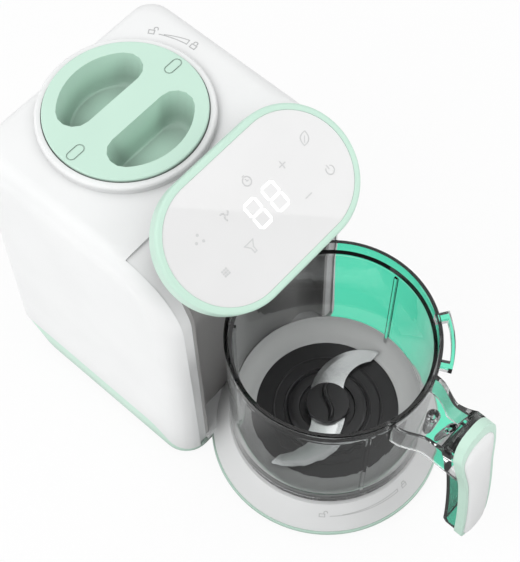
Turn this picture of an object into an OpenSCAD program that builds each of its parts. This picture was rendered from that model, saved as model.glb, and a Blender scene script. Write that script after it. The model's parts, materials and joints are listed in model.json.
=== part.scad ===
// Steam-and-blend baby food processor: water tank and motor in the tall housing,
// blender jar with a side handle on a round station in front of it.
// Millimetres, +Z up, +Y to the back. The origin lies under the middle of the whole.

/* [Housing] */
// Width of the housing at its foot
body_w = 156; // [150:1:166]
// Depth of the housing from its front face to its back
body_d = 157; // [152:1:170]
// Height of the flat top above the table
body_h = 207; // [203:1:216]
// How far each side and the back lean in at the top
body_lean = 4; // [2:0.5:6]
// Thickness of the moulded shells
wall = 3; // [2:0.5:3.5]
// Corner radius at the rear, seen from above
rear_corner_r = 14; // [10:1:24]
// Corner radius at the front, seen from above
front_corner_r = 17; // [12:1:20]
// Rounding along the top of the sides
top_edge_r = 12; // [8:1:16]
// Rounding along the top of the back
back_edge_r = 5; // [3:1:8]
// Rounding of the brow, where the front turns into the top
brow_r = 40; // [32:1:46]
// Width of the front insert between the two side shells
insert_w = 130; // [124:1:134]
// How far the front insert is set back from the side shells
insert_step = 2; // [1:0.5:3]

/* [Base] */
// Height of the rubber feet under the tray
foot_h = 2.5; // [1.5:0.5:4]
// Radius of a rubber foot
foot_r = 8; // [6:0.5:10]
// Height of the tray's edge at the sides and the back
tray_side_h = 21; // [17:1:26]
// Height of the tray's edge round the jar station
tray_front_h = 8; // [7:0.5:11]
// Corner radius at the tray's rear, along its lower edge
tray_corner_r = 34; // [26:1:40]
// Thickness of the tray's floor
tray_floor = 2.5; // [2:0.5:3.5]

/* [Jar station] */
// Distance from the jar's axis back to the housing's front face
jar_offset = 50; // [47:1:56]
// Radius of the tray's round end
station_r = 74.5; // [72:0.5:80]
// Radius of the deck's top
deck_top_r = 62.5; // [61.5:0.5:66]
// Height of the deck's top above the table
deck_h = 28.5; // [27:0.5:32]
// Radius of the well that takes the jar's foot
well_r = 52; // [50:0.5:54]
// Width of the bay in the housing's front
bay_w = 112; // [104:1:120]
// Depth of the bay
bay_depth = 16; // [14:1:22]
// Corner radius at the back of the bay
bay_corner_r = 12; // [8:1:12]
// How far the bay's ceiling lies below the flat top
bay_drop = 20; // [19:0.5:24]
// Thickness of the bay's lining
fascia_t = 2.5; // [2:0.5:3]

/* [Jar] */
// Outer radius of the jar's rim
jar_rim_r = 62; // [60.5:0.5:63]
// Height of the jar from its foot on the deck to its rim
jar_h = 110.5; // [90:0.5:114]
// Height of the rim's collar
jar_collar_h = 10; // [7:0.5:14]
// Step from the collar in to the jar's wall
jar_step = 0.5; // [0.5:0.5:2]
// Thickness of the jar's wall
jar_wall = 2.5; // [2:0.25:3]
// Radius of the dark floor plate
floor_plate_r = 45; // [42:0.5:46]
// Height of the jar's floor above its foot
jar_floor_h = 6; // [5:0.5:8]

/* [Handle] */
// Distance from the jar's axis out to the front of the grip, at its foot
handle_reach = 117; // [114:1:126]
// Width of the grip
grip_w = 25; // [22:1:30]
// How far the grip widens on each side towards its top
grip_flare = 3; // [0:0.5:4]
// Width of the bridge between the rim and the grip
bridge_w = 28; // [26:1:34]
// Height of the bridge's side walls
bridge_h = 22; // [16:1:26]
// Length of the grip below the rim
grip_drop = 109; // [85:1:109]
// How far the grip rises above the rim
grip_rise = 14; // [10:0.5:18]
// Lean of the grip at its foot
grip_lean = 1.8; // [0:0.2:4]
// Radius of the bow that brings the grip's top back over the bridge
grip_bow = 600; // [500:10:900]
// Depth of the grip's clear spine
spine_t = 9; // [7:0.5:10]
// Depth of the grip's coloured frame
frame_t = 5.5; // [5:0.5:8]
// How far the grip's cover stands proud of its frame
cover_proud = 1; // [0.5:0.25:2]
// Extra depth of the frame that shows above the cover
cover_cap = 5; // [2:0.5:7]
// Width of the frame that shows round the cover
cover_border = 2.5; // [2:0.5:4]

/* [Blade] */
// Radius at the blade's tips
blade_r = 50; // [44:0.5:52]
// Thickness of the blade
blade_t = 1.6; // [1.2:0.2:2]
// Radius of the hub
hub_r = 13; // [11:0.5:15]
// Height of the hub
hub_h = 6; // [5:0.5:9]
// Radius of the blade's spindle and of the drive shaft
shaft_r = 4; // [3:0.5:5]

/* [Tank lid] */
// Radius of the lid
lid_r = 46; // [45:0.5:47.5]
// Thickness of the lid's top
lid_t = 4.5; // [3.5:0.5:6]
// Distance from the lid's axis to the housing's back
lid_back = 54.5; // [54.5:0.5:60]
// Width of the ring round the lid
lid_ring_w = 4.5; // [3.5:0.5:5]
// Height of the ring above the flat top
lid_ring_h = 5; // [4:0.5:7]
// Radius that bounds the two finger wells
grip_well_r = 38; // [34:0.5:38]
// Width of the bar between the finger wells
grip_bar_w = 18; // [15:1:24]
// Depth of the finger wells
grip_well_depth = 24; // [18:1:26]
// Radius of the tank's mouth
mouth_r = 44.3; // [43.6:0.1:44.4]

/* [Control panel] */
// Length of the glass
glass_w = 122; // [114:1:126]
// Height of the glass along its slope
glass_h = 70; // [64:1:74]
// Slope of the panel from level
panel_tilt = 30; // [24:1:36]
// Height of the middle of the glass above the housing's flat top
panel_rise = 12; // [9:1:20]
// How far the middle of the glass lies behind the housing's front face
panel_setback = 3; // [0:1:8]
// Width of the frame round the glass
bezel_w = 4; // [3:0.5:6]
// Depth of the frame
bezel_t = 10; // [8:0.5:12]
// Depth of the tray behind the frame
head_t = 6; // [5:0.5:9]
// How far the neck that carries the panel is set in from the tray
neck_inset = 8; // [5:0.5:12]

/* [Drive] */
// Distance from the jar's axis to the motor's axis
belt_span = 110; // [100:1:112]
// Radius of the belt's path on the jar's pulley
big_pulley_r = 27; // [20:1:34]
// Radius of the belt's path on the motor's pulley
small_pulley_r = 9; // [7:1:12]
// Width of the belt
belt_w = 5; // [4:0.5:5]
// Radius of the motor
motor_r = 30; // [24:1:34]
// Length of the motor
motor_h = 66; // [50:1:80]
// Depth of the steam boiler below its flange
boiler_h = 52; // [36:1:60]

/* [Hidden] */
$fn = 96;

// Clearances
eps = 0.01;
part_gap = 0.3;
run_gap = 0.05;
lid_gap = 0.6;

// Places along Y: the whole depth is centred on the origin
overall_d = body_d + jar_offset + handle_reach;
y_back = overall_d / 2;
y_front = y_back - body_d;
jar_y = y_front - jar_offset;
lid_y = y_back - lid_back;
panel_y = y_front + panel_setback;
motor_y = jar_y + belt_span;
bay_back = y_front + bay_depth;

// Heights
brow_z = body_h - brow_r;
bay_top = body_h - bay_drop;
bay_floor_t = 4.5;
bay_floor_z = tray_front_h + bay_floor_t;
panel_z = body_h + panel_rise;
floor_z = foot_h + tray_floor;
ceiling_z = body_h - wall;
pulley_z = floor_z + 1.5;
flange_t = 0.7;
pulley_t = belt_w + 2 * (flange_t + part_gap);
well_floor_z = pulley_z + pulley_t + 0.9;
well_floor_t = 2.5;
well_z = well_floor_z + well_floor_t;
coupling_z = well_z + 0.4;
coupling_flange_t = 2;
dog_h = 4.4;
driven_z = coupling_z + coupling_flange_t + 0.6;
driven_cup_h = dog_h;
driven_top_t = 2;
driven_top_z = driven_z + driven_cup_h + driven_top_t;
jar_z = deck_h;
rim_z = jar_z + jar_h;
jar_floor_z = jar_z + jar_floor_h;
jar_shelf_z = jar_z + 0.5;
bush_rise = 1;
seal_t = 0.8;
hub_z = jar_floor_z + bush_rise + seal_t + part_gap;
lid_z = body_h + 2.5;
lid_top_z = lid_z + lid_t;

// Helpers: a solid drawn as a side view in Y and Z, and one drawn as a front view in X and Z
module side_extrude(width) {
    rotate([90, 0, 90]) translate([0, 0, -width / 2]) linear_extrude(width) children();
}

module front_extrude(y0, y1) {
    translate([0, y1, 0]) rotate([90, 0, 0]) linear_extrude(y1 - y0) children();
}

// A stadium: two half circles and the straight runs between them
module stadium(half_run, r) {
    for (side = [-1, 1]) translate([side * half_run, 0]) circle(r);
    square([2 * half_run, 2 * r], center = true);
}

// A rectangle with round corners
module round_rect(w, h, r) {
    for (sx = [-1, 1], sy = [-1, 1]) translate([sx * (w / 2 - r), sy * (h / 2 - r)]) circle(r);
    square([w - 2 * r, h], center = true);
    square([w, h - 2 * r], center = true);
}

// A ring of points for the housing's loft, seen from above, with its own corner radii
function corner(cx, cy, r, from) =
    [for (i = [0:corner_steps]) let (a = from + 90 * i / corner_steps) [cx + r * cos(a), cy + r * sin(a)]];
corner_steps = 9;
function ring(half_w, y0, y1, r0, r1, z) = [for (p = concat(
    corner(half_w - r0, y0 + r0, r0, -90),
    corner(half_w - r1, y1 - r1, r1, 0),
    corner(-half_w + r1, y1 - r1, r1, 90),
    corner(-half_w + r0, y0 + r0, r0, 180))) [p[0], p[1], z]];

module loft(rings) {
    n = len(rings[0]);
    top = (len(rings) - 1) * n;
    sides = [for (k = [0:len(rings) - 2], i = [0:n - 1])
        let (a = k * n + i, b = k * n + (i + 1) % n) each [[a, a + n, b + n], [a, b + n, b]]];
    polyhedron(
        points = [for (r = rings) each r],
        faces = concat([[for (i = [0:n - 1]) i]], sides, [[for (i = [n - 1:-1:0]) top + i]]));
}

// The housing's outer form: leaning sides, round brow, round top edges
function round_inset(z, r) = z > body_h - r ? r - sqrt(max(0, r * r - pow(z - body_h + r, 2))) : 0;
function lean_at(z) = body_lean * z / body_h;
function half_w_at(z) = body_w / 2 - lean_at(z) - round_inset(z, top_edge_r);
function back_at(z) = y_back - lean_at(z) - round_inset(z, back_edge_r);
function front_at(z) = y_front + round_inset(z, brow_r);
function body_ring(z, shrink, rear_r) = ring(half_w_at(z) - shrink, front_at(z) + shrink, back_at(z) - shrink,
    front_corner_r, rear_r, z);
function rear_r_at(z) = rear_corner_r - round_inset(z, top_edge_r) / 2;
brow_steps = 10;
body_levels = concat([foot_h], [for (i = [0:brow_steps]) brow_z + brow_r * sin(90 * i / brow_steps)]);

module body_form() {
    loft([for (z = body_levels) body_ring(z, 0, rear_r_at(z))]);
}

// The seam between housing and tray sweeps from low at the front to high along the sides
seam_run = 34;
seam_steps = 12;
function smooth(t) = t * t * (3 - 2 * t);
function seam_at(t) = tray_front_h + (tray_side_h - tray_front_h) * smooth(t);
module below_seam() {
    far = overall_d;
    side_extrude(2 * body_w) polygon(concat(
        [[-far, -1], [-far, tray_front_h]],
        [for (i = [0:seam_steps]) [y_front + 1 + seam_run * i / seam_steps, seam_at(i / seam_steps)]],
        [[far, tray_side_h], [far, -1]]));
}

// The room inside the housing
module body_room() {
    side = body_w / 2 - body_lean - wall;
    y0 = y_front + insert_step + wall;
    y1 = y_back - body_lean - wall;
    r_side = top_edge_r - wall;
    r_brow = brow_r - insert_step - wall;
    half_d = body_d / 2;
    intersection() {
        union() {
            linear_extrude(brow_z) translate([0, y0 + half_d / 2])
                round_rect(2 * side, half_d, front_corner_r - wall);
            linear_extrude(ceiling_z) {
                intersection() {
                    translate([0, (y0 + y1) / 2]) round_rect(2 * side, y1 - y0, rear_corner_r - wall);
                    translate([-side, y_front + brow_r]) square([2 * side, body_d]);
                }
                translate([front_corner_r - side, y0]) square([2 * (side - front_corner_r), half_d]);
            }
        }
        side_extrude(body_w) {
            translate([y0 + r_brow, 0]) square([y1 - y0, ceiling_z]);
            translate([y0, 0]) square([y1 - y0, ceiling_z - r_brow]);
            translate([y0 + r_brow, ceiling_z - r_brow]) circle(r_brow);
        }
        front_extrude(y0 - 1, y1 + 1) {
            translate([-side, 0]) square([2 * side, ceiling_z - r_side]);
            translate([-side + r_side, 0]) square([2 * (side - r_side), ceiling_z]);
            for (s = [-1, 1]) translate([s * (side - r_side), ceiling_z - r_side]) circle(r_side);
        }
    }
}

// The front insert: between the side shells the front and the brow are set back by a step
module insert_recess() {
    side_extrude(insert_w) difference() {
        translate([y_front - brow_r, 0]) square([2 * brow_r, 2 * body_h]);
        translate([y_front + insert_step, 0]) square([brow_r, brow_z]);
        translate([y_front + brow_r, brow_z]) circle(brow_r - insert_step);
    }
}

// The control head's own frame: origin at the middle of the glass, Z out of the glass
module on_panel(depth) {
    translate([0, panel_y, panel_z]) rotate([panel_tilt, 0, 0]) translate([0, 0, -depth]) children();
}
glass_run = (glass_w - glass_h) / 2;
glass_r = glass_h / 2;
glass_t = 2;
head_depth = bezel_t + head_t;
head_inset = 3;
head_r = glass_r + bezel_w - head_inset;

// The neck between brow and head: a stadium prism square to the panel, with a passage for the wires
neck_r = head_r - neck_inset;
neck_reach = 46;
passage_r = neck_r / 2;
module neck(r, reach) {
    on_panel(head_depth + reach) linear_extrude(reach) stadium(glass_run, r);
}

// The bay in plan, grown by some thickness and run forward by some reach
module bay_plan(grow, forward) {
    half = bay_w / 2 + grow;
    back = bay_back + grow;
    r = bay_corner_r + grow;
    front = y_front - forward;
    intersection() {
        union() {
            translate([-half, front]) square([2 * half, back - r - front]);
            translate([-half + r, front]) square([2 * (half - r), back - front]);
            for (s = [-1, 1]) translate([s * (half - r), back - r]) circle(r);
        }
        translate([-half, front]) square([2 * half, back - front]);
    }
}

// Cord inlet at the back
inlet_side = 34;
inlet_x = inlet_side - body_w / 2;
inlet_z = 38;
inlet_w = 26;
inlet_h = 17;
inlet_depth = 20;
inlet_r = 3;

module inlet_place(depth) {
    translate([inlet_x, back_at(inlet_z) - depth, inlet_z]) rotate([-90, 0, 0]) children();
}

// Tank lid collar and mouth
lid_ring_r = lid_r + lid_ring_w;
ring_round = 2;
ring_height = brow_r + lid_ring_h;

module main_housing() color("white") difference() {
    union() {
        difference() {
            body_form();
            insert_recess();
        }
        neck(neck_r, neck_reach);
        translate([0, lid_y, brow_z]) rotate_extrude() {
            square([lid_ring_r - ring_round, ring_height]);
            square([lid_ring_r, ring_height - ring_round]);
            translate([lid_ring_r - ring_round, ring_height - ring_round]) circle(ring_round);
        }
    }
    body_room();
    neck(passage_r, neck_reach);
    below_seam();
    linear_extrude(bay_top + fascia_t) bay_plan(fascia_t, bay_depth);
    translate([0, nozzle_y, bay_top]) cylinder(r = nozzle_flange_r + part_gap, h = steam_z - bay_top);
    translate([0, lid_y, lid_z]) cylinder(r = lid_r + lid_gap, h = lid_ring_h + lid_t);
    translate([0, lid_y, brow_z]) cylinder(r = mouth_r, h = brow_r + lid_ring_h);
    inlet_place(inlet_depth) linear_extrude(2 * inlet_depth) round_rect(inlet_w, inlet_h, inlet_r);
}

nozzle_y = bay_back - 10;
nozzle_r = 5;
nozzle_flange_r = 7;
nozzle_flange_t = 1;

module front_fascia() color("dimgray") difference() {
    translate([0, 0, bay_floor_z]) linear_extrude(bay_top + fascia_t - bay_floor_z)
        bay_plan(fascia_t, -insert_step);
    translate([0, 0, bay_floor_z - 1]) linear_extrude(bay_top - bay_floor_z + 1) bay_plan(0, bay_depth);
    translate([0, nozzle_y, bay_top - 1]) cylinder(r = nozzle_r, h = fascia_t + 2);
    insert_recess();
    deck_cone(0);
    belt_way();
}

// Bottom tray: a keyhole pan with a chamfered lower edge, bosses for the motor and the boards
tray_chamfer = 2.5;
motor_post_r = 4.5;
motor_post_x = motor_r + 5;
motor_post_y = motor_r - 4;
plate_z = well_z + 1.5;
plate_t = 3;
board_post_r = 3.5;
board_z = floor_z + 14;
board_y = motor_y + motor_r + 22;
board_w = 84;
board_d = 30;
board_post_x = board_w / 2 - 6;
board_post_y = board_d / 2 - 5;
pivot_h = pulley_z - part_gap - floor_z;

module tray_form(shrink) {
    loft([
        body_ring(foot_h, tray_chamfer + shrink, tray_corner_r),
        body_ring(foot_h + tray_chamfer, shrink, tray_corner_r),
        body_ring(tray_side_h + 1, shrink, rear_corner_r)]);
    translate([0, jar_y, foot_h]) {
        cylinder(r1 = station_r - tray_chamfer - shrink, r2 = station_r - shrink, h = tray_chamfer);
        translate([0, 0, tray_chamfer]) cylinder(r = station_r - shrink, h = tray_side_h);
    }
}

module vent_slots() {
    for (i = [-3:3]) translate([10 * i, motor_y, 0]) linear_extrude(floor_z + 1) stadium_y(14, 2);
}

module stadium_y(half_run, r) {
    rotate(90) stadium(half_run, r);
}

module motor_posts(r, z0, h) {
    for (sx = [-1, 1], sy = [-1, 1])
        translate([sx * motor_post_x, motor_y + sy * motor_post_y, z0]) cylinder(r = r, h = h);
}

module bottom_tray() color("palegreen") difference() {
    union() {
        intersection() {
            difference() {
                tray_form(0);
                translate([0, 0, tray_floor]) tray_form(wall);
            }
            below_seam();
        }
        motor_posts(motor_post_r, floor_z - eps, plate_z - floor_z + eps);
        for (sx = [-1, 1], sy = [-1, 1])
            translate([sx * board_post_x, board_y + sy * board_post_y, floor_z - eps])
                cylinder(r = board_post_r, h = board_z - floor_z + eps);
        translate([0, jar_y, floor_z - eps]) cylinder(r = shaft_r + 4, h = pivot_h + eps);
    }
    translate([0, jar_y, floor_z]) cylinder(r = shaft_r + run_gap, h = pivot_h + 1);
    vent_slots();
}

// Way for the belt out of the plinth, under the bay's back wall
belt_room = 2;
belt_half = small_pulley_r + (big_pulley_r - small_pulley_r) * (1 - (bay_back - jar_y) / belt_span);
module belt_way() {
    half = belt_half + belt_t + 2 * belt_room;
    translate([-half, bay_back - fascia_t, floor_z])
        cube([2 * half, bay_depth, belt_z + belt_w + belt_room - floor_z]);
}

// Jar deck: a round white plinth with the well for the jar's foot, run back as the bay's floor
deck_t = 3;
module deck_cone(shrink) {
    translate([0, jar_y, 0]) rotate_extrude() polygon([
        [0, tray_front_h - shrink], [station_r - 1.2 - shrink, tray_front_h - shrink],
        [station_r - 1.2 - shrink, tray_front_h + 1],
        [station_r - 3.2 - shrink, tray_front_h + 4],
        [deck_top_r + 1.5 - shrink, deck_h - 1.5 - shrink],
        [deck_top_r - shrink, deck_h - shrink], [0, deck_h - shrink]]);
}

module jar_deck() color("whitesmoke") difference() {
    union() {
        difference() {
            union() {
                deck_cone(0);
                translate([0, 0, tray_front_h]) linear_extrude(bay_floor_t) bay_plan(fascia_t, 0);
            }
            deck_cone(deck_t);
            belt_way();
        }
        translate([0, jar_y, well_floor_z]) cylinder(r = well_r + well_floor_t, h = deck_h - well_floor_z);
    }
    translate([0, jar_y, well_z]) cylinder(r = well_r, h = deck_h);
    translate([0, jar_y, 0]) cylinder(r = bush_outer_r, h = deck_h);
}

// Control head: tray, frame, glass and the boards behind it
module head_tray() color("white") difference() {
    on_panel(head_depth) linear_extrude(head_t) stadium(glass_run, head_r);
    on_panel(head_depth - wall) linear_extrude(head_t) stadium(glass_run, head_r - wall);
    on_panel(head_depth + 1) linear_extrude(head_t) stadium(glass_run, passage_r);
}

bezel_round = 2;
glass_ledge = 3;
module bezel_section(r) {
    square([r - bezel_round, bezel_t + glass_t / 4]);
    square([r, bezel_t + glass_t / 4 - bezel_round]);
    translate([r - bezel_round, bezel_t + glass_t / 4 - bezel_round]) circle(bezel_round);
}

module stadium_turn(half_run) {
    for (side = [0, 180]) rotate(side) {
        translate([half_run, 0, 0]) rotate(-90) rotate_extrude(angle = 180) children();
        rotate([90, 0, 90]) translate([0, 0, -half_run]) linear_extrude(2 * half_run) children();
    }
}

module panel_bezel() color("palegreen") difference() {
    on_panel(bezel_t) stadium_turn(glass_run) bezel_section(glass_r + bezel_w);
    on_panel(glass_t) linear_extrude(bezel_t) stadium(glass_run, glass_r);
    on_panel(bezel_t + 1) linear_extrude(bezel_t) stadium(glass_run, glass_r - glass_ledge);
}

module touch_glass() color("snow") on_panel(glass_t) linear_extrude(glass_t) stadium(glass_run, glass_r);

board_t = 1.6;
module display_board() color("darkgreen")
    on_panel(head_depth - wall) linear_extrude(board_t) stadium(glass_run, head_r - wall - part_gap);

display_w = 46;
display_h = 30;
module display_module() color("gainsboro")
    on_panel(head_depth - wall - board_t) linear_extrude(head_depth - wall - board_t - glass_t)
        square([display_w, display_h], center = true);

capacitor_r = 8;
capacitor_h = 22;
transformer_w = 24;
transformer_d = 20;
transformer_h = 16;
module power_board() color("darkgreen") translate([0, board_y, board_z]) {
    linear_extrude(board_t) square([board_w, board_d], center = true);
    translate([-board_w / 4, 0, board_t]) cylinder(r = capacitor_r, h = capacitor_h);
    translate([board_w / 6, 0, board_t]) linear_extrude(transformer_h)
        square([transformer_w, transformer_d], center = true);
}

// Steam side: boiler under the lid, heater below it, tube to the nozzle over the jar
boiler_wall = 1.2;
gasket_t = 1.5;
boiler_flange_t = 1.5;
flange_r = mouth_r + 3.4;
boiler_top = ceiling_z - gasket_t;
boiler_z = boiler_top - boiler_h;
heater_t = 8;
heater_inset = 4;
element_inset = 14;
element_w = 4;
ear_r = 5;
ear_reach = body_w / 2 - body_lean - top_edge_r - ear_r - mouth_r;

module boiler_plan() {
    circle(flange_r);
    for (s = [-1, 1]) translate([s * (mouth_r + ear_reach / 2), 0]) {
        square([ear_reach, 2 * ear_r], center = true);
        translate([s * ear_reach / 2, 0]) circle(ear_r);
    }
}

module ear_places() {
    for (s = [-1, 1]) translate([s * (mouth_r + ear_reach), lid_y, 0]) children();
}

module boiler_gasket() color("gainsboro") difference() {
    translate([0, lid_y, boiler_top]) linear_extrude(gasket_t) boiler_plan();
    translate([0, lid_y, boiler_top - 1]) cylinder(r = mouth_r, h = gasket_t + 2);
}

module boiler() color("silver") difference() {
    translate([0, lid_y, 0]) {
        translate([0, 0, boiler_top - boiler_flange_t]) linear_extrude(boiler_flange_t) boiler_plan();
        translate([0, 0, boiler_z]) cylinder(r = mouth_r + boiler_wall, h = boiler_h);
    }
    translate([0, lid_y, boiler_z + boiler_wall]) cylinder(r = mouth_r, h = boiler_h);
    translate([0, lid_y, steam_z]) rotate([90, 0, 0]) cylinder(r = steam_bore, h = 2 * mouth_r);
}

module heater_plate() color("silver") translate([0, lid_y, boiler_z - heater_t]) difference() {
    cylinder(r = mouth_r - heater_inset, h = heater_t);
    translate([0, 0, -1]) rotate_extrude()
        translate([mouth_r - element_inset, 0]) square([element_w, heater_t / 2]);
}

sensor_r = 8;
sensor_h = 7;
tab_h = 6;
tab_t = 1;
module thermostat() color("dimgray") translate([0, lid_y, boiler_z - heater_t]) {
    translate([0, 0, -sensor_h]) cylinder(r = sensor_r, h = sensor_h);
    for (s = [-1, 1]) translate([s * sensor_r / 2, 0, -sensor_h - tab_h]) linear_extrude(tab_h)
        square([tab_t, tab_h], center = true);
}

steam_r = 4;
steam_z = bay_top + fascia_t + nozzle_flange_t + 1.25 * steam_r;
steam_bore = 2.8;
module steam_run(r, from) {
    translate([0, from, steam_z]) rotate([90, 0, 0]) cylinder(r = r, h = from - nozzle_y);
    translate([0, nozzle_y, steam_z]) sphere(r);
    elbow_z = bay_top + fascia_t + nozzle_flange_t;
    translate([0, nozzle_y, elbow_z]) cylinder(r = r, h = steam_z - elbow_z);
}

module steam_tube() color("white") difference() {
    steam_run(steam_r, lid_y - mouth_r - boiler_wall / 2);
    steam_run(steam_bore, lid_y - mouth_r + 1);
    translate([0, lid_y, boiler_z]) cylinder(r = mouth_r + boiler_wall, h = boiler_h);
}

nozzle_drop = 6;
nozzle_taper = 1;
module nozzle_form() {
    translate([0, nozzle_y, bay_top - nozzle_drop])
        cylinder(r1 = nozzle_r - nozzle_taper, r2 = nozzle_r, h = nozzle_drop);
    translate([0, nozzle_y, bay_top]) cylinder(r = nozzle_r, h = fascia_t);
    translate([0, nozzle_y, bay_top + fascia_t]) cylinder(r = nozzle_flange_r, h = nozzle_flange_t);
}

module steam_nozzle() color("gray") difference() {
    nozzle_form();
    translate([0, nozzle_y, bay_top - nozzle_drop - 1])
        cylinder(r = steam_bore, h = nozzle_drop + fascia_t + 3);
}

// Motor on its bracket, with the belt to the jar's drive pulley
motor_z = plate_z + plate_t;
motor_shaft_r = 2.5;
motor_boss_r = 9;
motor_cap_h = 5;
shaft_end = 3;
slot_d = 6;
slot_w = 9;
slot_h = 12;

module motor() color("silver") difference() {
    translate([0, motor_y, 0]) {
        translate([0, 0, motor_z]) cylinder(r = motor_r, h = motor_h);
        translate([0, 0, plate_z]) cylinder(r = motor_boss_r, h = plate_t);
        translate([0, 0, motor_z + motor_h]) cylinder(r = motor_boss_r, h = motor_cap_h);
    }
    translate([0, motor_y, 0]) cylinder(r = motor_shaft_r + run_gap, h = motor_z + motor_h + 10);
    for (a = [0:60:300]) translate([0, motor_y, motor_z + motor_h - slot_h]) rotate(a)
        translate([motor_r, 0, 0]) cube([slot_d, slot_w, slot_h], center = true);
}

bracket_edge = 7;
bracket_r = 6;
module motor_bracket() color("lightsteelblue") difference() {
    translate([0, motor_y, plate_z]) linear_extrude(plate_t)
        round_rect(2 * (motor_post_x + bracket_edge), 2 * (motor_post_y + bracket_edge), bracket_r);
    translate([0, motor_y, plate_z - 1]) cylinder(r = motor_boss_r, h = plate_t + 2);
    motor_posts(screw_r, plate_z - 1, plate_t + 2);
}

module belt_loop(grow) {
    r0 = big_pulley_r + grow;
    r1 = small_pulley_r + grow;
    rise = (r0 - r1) / belt_span;
    run = sqrt(1 - rise * rise);
    circle(r0);
    translate([0, belt_span]) circle(r1);
    polygon([for (p = [[r0, 0, 1], [r1, belt_span, 1], [r1, belt_span, -1], [r0, 0, -1]])
        [p[2] * p[0] * run, p[1] + p[0] * rise]]);
}

belt_t = 1.8;
belt_z = pulley_z + flange_t + part_gap;
module drive_belt() color("black") translate([0, jar_y, belt_z]) linear_extrude(belt_w) difference() {
    belt_loop(part_gap + belt_t);
    belt_loop(part_gap);
}

module pulley(track_r, bore_r) {
    difference() {
        union() {
            cylinder(r = track_r, h = pulley_t);
            for (z = [0, pulley_t - flange_t]) translate([0, 0, z]) cylinder(r = track_r + 1.5, h = flange_t);
        }
        translate([0, 0, -1]) cylinder(r = bore_r, h = pulley_t + 2);
    }
}

module drive_pulley() color("ivory") translate([0, jar_y, pulley_z]) difference() {
    pulley(big_pulley_r, shaft_r);
    for (a = [0:60:300]) rotate(a) translate([(big_pulley_r + shaft_r) / 2 + 1, 0, -1])
        cylinder(r = big_pulley_r / 5, h = pulley_t + 2);
}

module drive_shaft() color("silver") translate([0, jar_y, floor_z + part_gap])
    cylinder(r = shaft_r, h = coupling_z + coupling_flange_t + dog_h - 1 - floor_z - part_gap);

dog_r = 10;
dog_gap = 0.5;
dog_sides = 6;
module drive_coupling() color("dimgray") translate([0, jar_y, coupling_z]) difference() {
    union() {
        cylinder(r = dog_r + 3, h = coupling_flange_t);
        cylinder(r = dog_r, h = coupling_flange_t + dog_h, $fn = dog_sides);
    }
    translate([0, 0, -1]) cylinder(r = shaft_r, h = coupling_flange_t + dog_h);
}

bush_outer_r = shaft_r + 4;
module shaft_bush() color("darkgoldenrod") translate([0, jar_y, well_floor_z - 0.5]) difference() {
    cylinder(r = bush_outer_r, h = well_floor_t + 0.5);
    translate([0, 0, -1]) cylinder(r = shaft_r + run_gap, h = well_floor_t + 3);
}

module motor_shaft() color("silver") translate([0, motor_y, pulley_z])
    cylinder(r = motor_shaft_r, h = motor_z + motor_h + motor_cap_h + shaft_end - pulley_z);

module motor_pulley() color("ivory") translate([0, motor_y, pulley_z]) pulley(small_pulley_r, motor_shaft_r);

// Cord inlet: a two-pin appliance socket let into the back
inlet_floor = 3;
inlet_lip = 1;
pin_pitch = 9;
pin_r = 1.2;
module cord_inlet() color("black") {
    difference() {
        inlet_place(inlet_depth) linear_extrude(inlet_depth - inlet_lip)
            round_rect(inlet_w, inlet_h, inlet_r);
        inlet_place(inlet_depth - inlet_floor) linear_extrude(inlet_depth)
            stadium(pin_pitch / 2, pin_pitch / 2);
    }
    for (s = [-1, 1]) inlet_place(inlet_depth - inlet_floor) translate([s * pin_pitch / 2, 0, 0])
        cylinder(r = pin_r, h = inlet_depth / 2);
}

// Feet and screws
screw_r = 1.6;
screw_head_h = 2;
foot_inset = 26;
foot_bevel = 0.8;
foot_x = body_w / 2 - foot_inset;
foot_places = [[-foot_x, y_back - tray_corner_r], [foot_x, y_back - tray_corner_r],
               [-station_r / 2, jar_y - station_r / 2], [station_r / 2, jar_y - station_r / 2]];
module feet() color("dimgray") for (p = foot_places)
    translate([p[0], p[1], 0]) cylinder(r1 = foot_r - foot_bevel, r2 = foot_r, h = foot_h);

module screw(length) {
    cylinder(r = screw_r, h = length);
    translate([0, 0, length]) cylinder(r = 2 * screw_r, h = screw_head_h);
}

module motor_screws() color("silver") for (sx = [-1, 1], sy = [-1, 1])
    translate([sx * motor_post_x, motor_y + sy * motor_post_y, plate_z]) screw(plate_t);

module boiler_screws() color("silver") ear_places()
    translate([0, 0, boiler_top - boiler_flange_t - screw_head_h])
        cylinder(r = 2 * screw_r, h = screw_head_h);

module board_screws() color("silver") for (sx = [-1, 1])
    translate([sx * board_post_x, board_y, board_z + board_t]) cylinder(r = 2 * screw_r, h = screw_head_h);

// Tank lid: cap with two finger wells, skirt below it, gasket round the skirt
well_corner_r = 10.5;
well_arc_steps = 14;
well_corner_steps = 5;
well_mid = (grip_bar_w / 2 + grip_well_r) / 2;

// Points of a D-shaped outline with round corners, grown outwards and shrunk towards its middle
function well_ring(grow, share, z) =
    let (r = grip_well_r + grow, c = well_corner_r + grow, y0 = grip_bar_w / 2 - grow,
         xc = sqrt(pow(r - c, 2) - pow(y0 + c, 2)), turn = atan2(y0 + c, xc))
    [for (p = concat(
        [for (i = [0:well_corner_steps]) let (a = -90 + (turn + 90) * i / well_corner_steps)
            [xc + c * cos(a), y0 + c + c * sin(a)]],
        [for (i = [1:well_arc_steps - 1]) let (a = turn + (180 - 2 * turn) * i / well_arc_steps)
            [r * cos(a), r * sin(a)]],
        [for (i = [0:well_corner_steps]) let (a = 180 - turn + (turn + 90) * i / well_corner_steps)
            [-xc + c * cos(a), y0 + c + c * sin(a)]]))
        [p[0] * share, well_mid + (p[1] - well_mid) * share, z]];

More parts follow.
